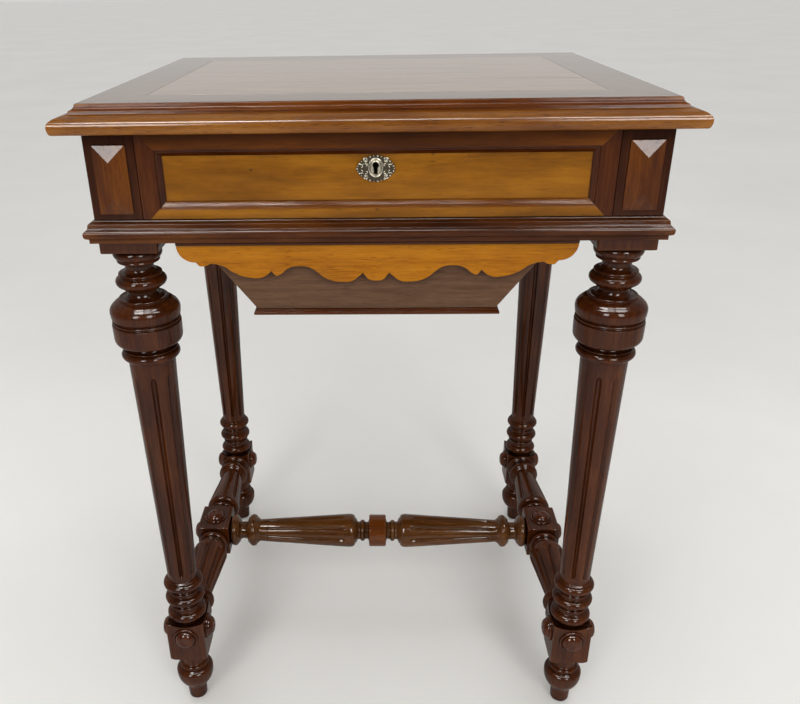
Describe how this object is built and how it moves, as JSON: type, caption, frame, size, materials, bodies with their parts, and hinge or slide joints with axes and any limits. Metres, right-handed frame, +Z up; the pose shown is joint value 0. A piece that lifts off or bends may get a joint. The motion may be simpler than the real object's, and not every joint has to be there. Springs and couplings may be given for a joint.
{
  "type": "sewing table",
  "caption": "Wooden sewing table with a lift-up lid over a shallow well, a pull-out tapered work box below it, and turned fluted legs joined by turned stretchers.",
  "frame": {"origin": "on the floor, under the middle of the table", "axes": "+Z up, +X to the right along the table's length, -Y towards the front with the keyhole"},
  "size_m": [0.5766, 0.4866, 0.75],
  "materials": {
    "dark_wood": "dark red-brown polished wood, gloss varnish",
    "red_wood": "red-brown polished wood, gloss varnish",
    "gold_wood": "golden brown polished wood, gloss varnish",
    "field_wood": "mid brown polished wood, gloss varnish",
    "inner_wood": "plain unpolished wood",
    "brass": "aged brass",
    "steel": "dull steel",
    "pewter": "worn silver-coloured metal"
  },
  "bodies": {
    "frame": {"frieze_board_front": "inner_wood", "frieze_board_right": "gold_wood", "frieze_board_back": "gold_wood", "frieze_board_left": "gold_wood", "corner_post_front_left": "dark_wood", "corner_post_front_right": "dark_wood", "corner_post_back_left": "dark_wood", "corner_post_back_right": "dark_wood", "frieze_panel_front": "gold_wood", "panel_frame_front": "red_wood", "panel_moulding_front": "dark_wood", "panel_frame_left": "dark_wood", "panel_frame_right": "dark_wood", "panel_frame_back": "dark_wood", "base_moulding_front": "dark_wood", "base_moulding_right": "dark_wood", "base_moulding_back": "dark_wood", "base_moulding_left": "dark_wood", "well_bottom": "inner_wood", "compartment_divider_1": "inner_wood", "compartment_divider_2": "inner_wood", "diamond_block_front_left": "gold_wood", "diamond_block_front_right": "gold_wood", "leg_front_left": "dark_wood", "leg_front_right": "dark_wood", "leg_back_left": "dark_wood", "leg_back_right": "dark_wood", "side_stretcher_left": "dark_wood", "side_stretcher_right": "dark_wood", "cross_stretcher": "dark_wood", "runner_guide_left": "inner_wood", "runner_guide_right": "inner_wood", "hinge_lower_leaf_left": "brass", "hinge_lower_leaf_right": "brass", "hinge_pin_left": "steel", "hinge_pin_right": "steel", "lock_case": "brass", "escutcheon": "pewter"},
    "lid": {"lid_field_panel": "field_wood", "lid_border_front": "red_wood", "lid_border_right": "red_wood", "lid_border_back": "red_wood", "lid_border_left": "red_wood", "lid_moulding_front": "red_wood", "lid_moulding_right": "red_wood", "lid_moulding_back": "red_wood", "lid_moulding_left": "red_wood", "hinge_upper_leaf_left": "brass", "hinge_upper_leaf_right": "brass", "lock_link_plate": "brass"},
    "workbox": {"workbox_apron": "gold_wood", "workbox_cap": "dark_wood", "workbox_front_board": "red_wood", "workbox_back_board": "red_wood", "workbox_side_left": "red_wood", "workbox_side_right": "red_wood", "workbox_bottom_board": "red_wood", "workbox_runner_left": "inner_wood", "workbox_runner_right": "inner_wood"},
    "lock_bolt": {"lock_bolt": "steel"}
  },
  "joints": [
    {"name": "lid_hinge", "type": "hinge", "parent": "frame", "child": "lid", "pos_m": [0, 0.2255, 0.72515], "axis": [-1, 0, 0], "range_deg": [0, 98]},
    {"name": "workbox_slide", "type": "slide", "parent": "frame", "child": "workbox", "axis": [0, -1, 0], "range_m": [0, 0.25]},
    {"name": "lock_bolt_slide", "type": "slide", "parent": "frame", "child": "lock_bolt", "axis": [1, 0, 0], "range_m": [0, 0.0055]}
  ]
}
